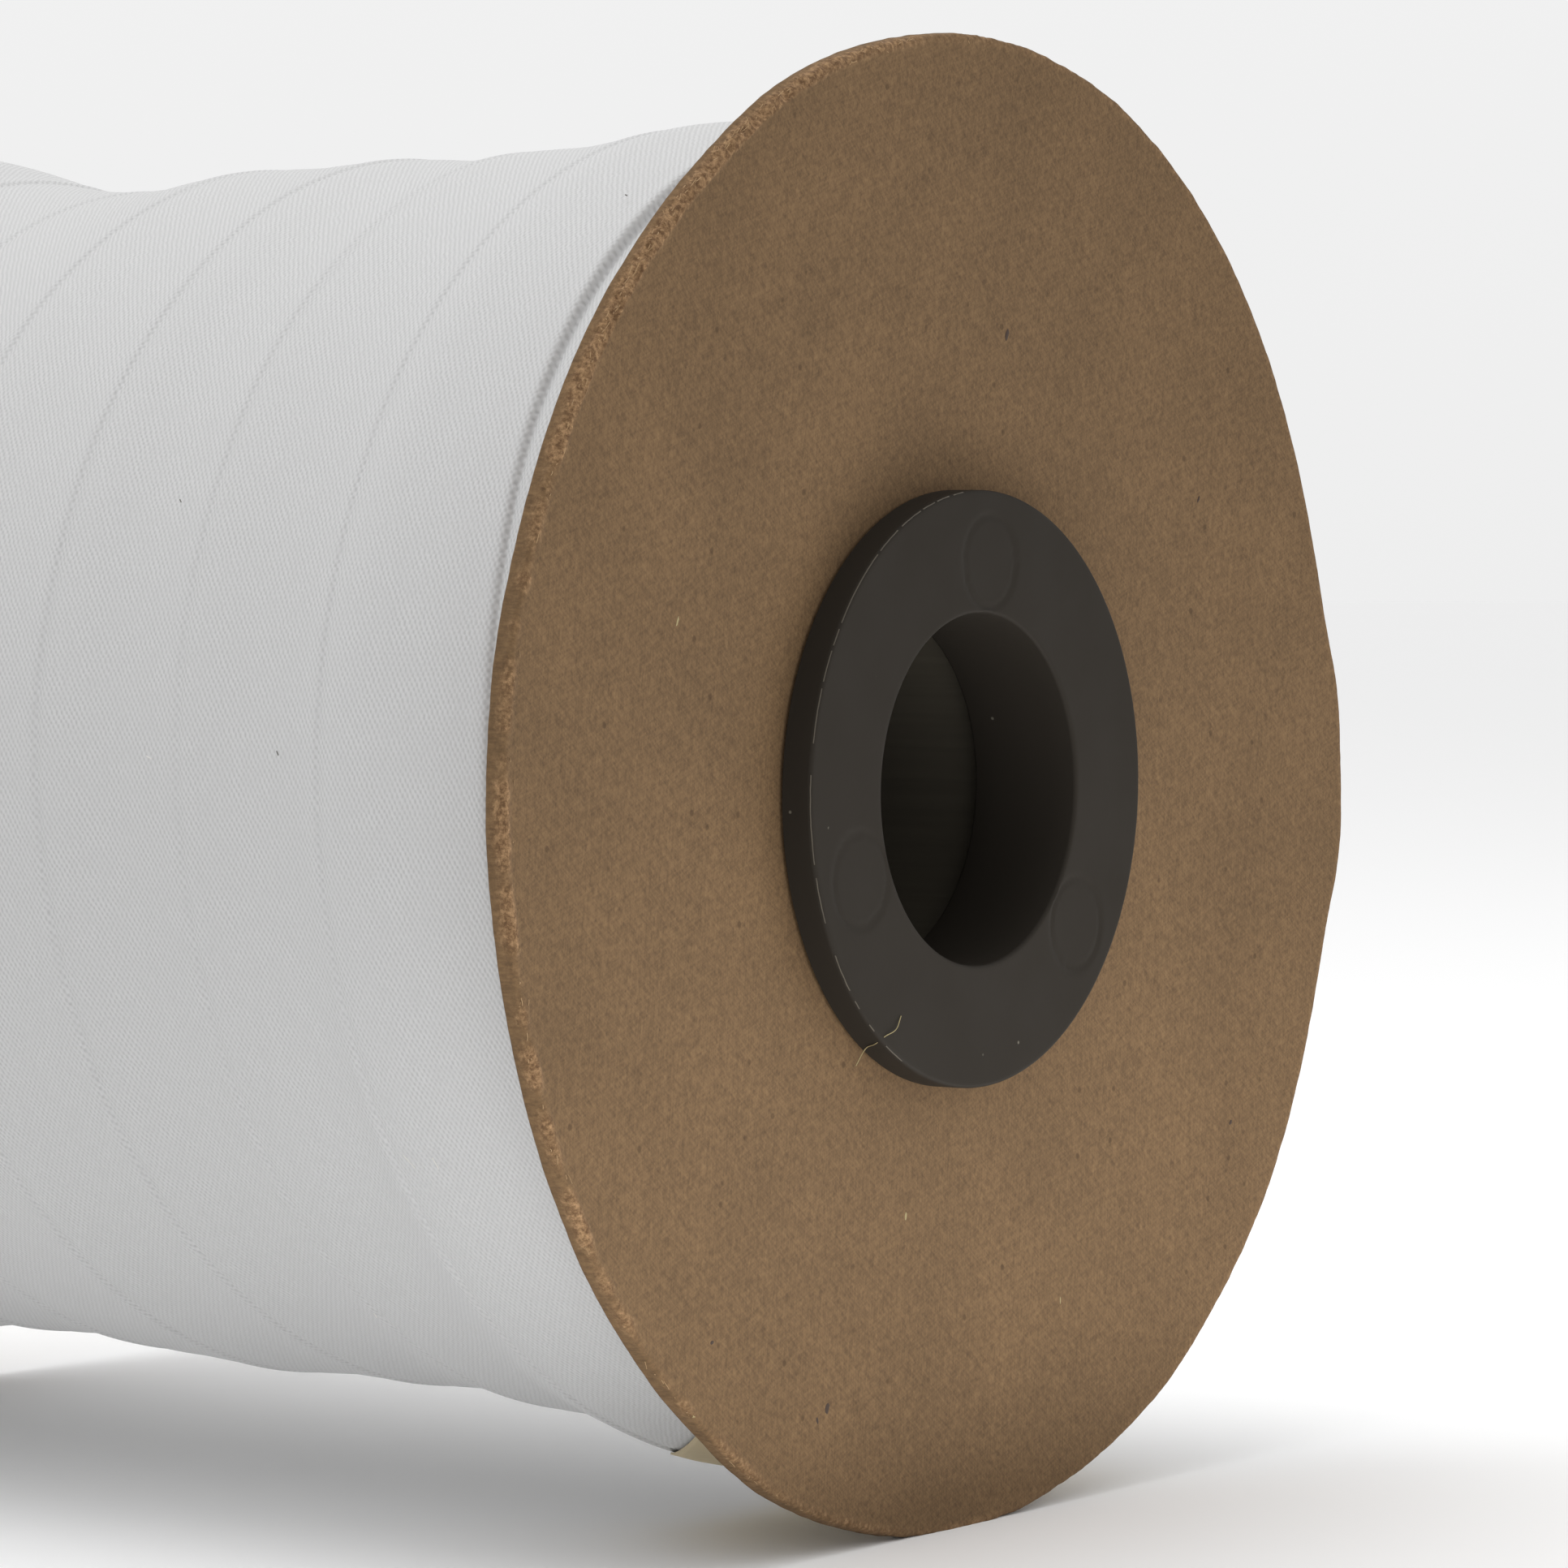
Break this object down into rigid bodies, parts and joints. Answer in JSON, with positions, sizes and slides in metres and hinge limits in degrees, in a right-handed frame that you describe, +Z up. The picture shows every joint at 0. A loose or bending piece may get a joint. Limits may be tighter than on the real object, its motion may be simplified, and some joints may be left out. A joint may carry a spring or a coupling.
{
  "type": "roll of bias tape on a flanged spool",
  "caption": "Roll of folded cotton bias tape wound in overlapping laps on a spool with round board ends and a through bore for a spindle.",
  "frame": {"origin": "under the middle of the spool, on the surface that its two board ends rest on", "axes": "+X along the spool's axis towards the end that the picture shows, +Z up"},
  "size_m": [0.1184, 0.108, 0.1075],
  "materials": {
    "bias_tape": "bleached cotton, plain weave cut on the bias",
    "kraft_board": "kraft faced chipboard, matte",
    "hub_plastic": "injection moulded, satin",
    "core_tube": "dull",
    "tab_paper": "crepe paper tape, matte"
  },
  "bodies": {
    "root": {"tape_roll": "bias_tape", "board_right": "kraft_board", "board_left": "kraft_board", "hub_right": "hub_plastic", "hub_left": "hub_plastic", "core_tube": "core_tube", "paper_tab": "tab_paper"}
  },
  "joints": []
}
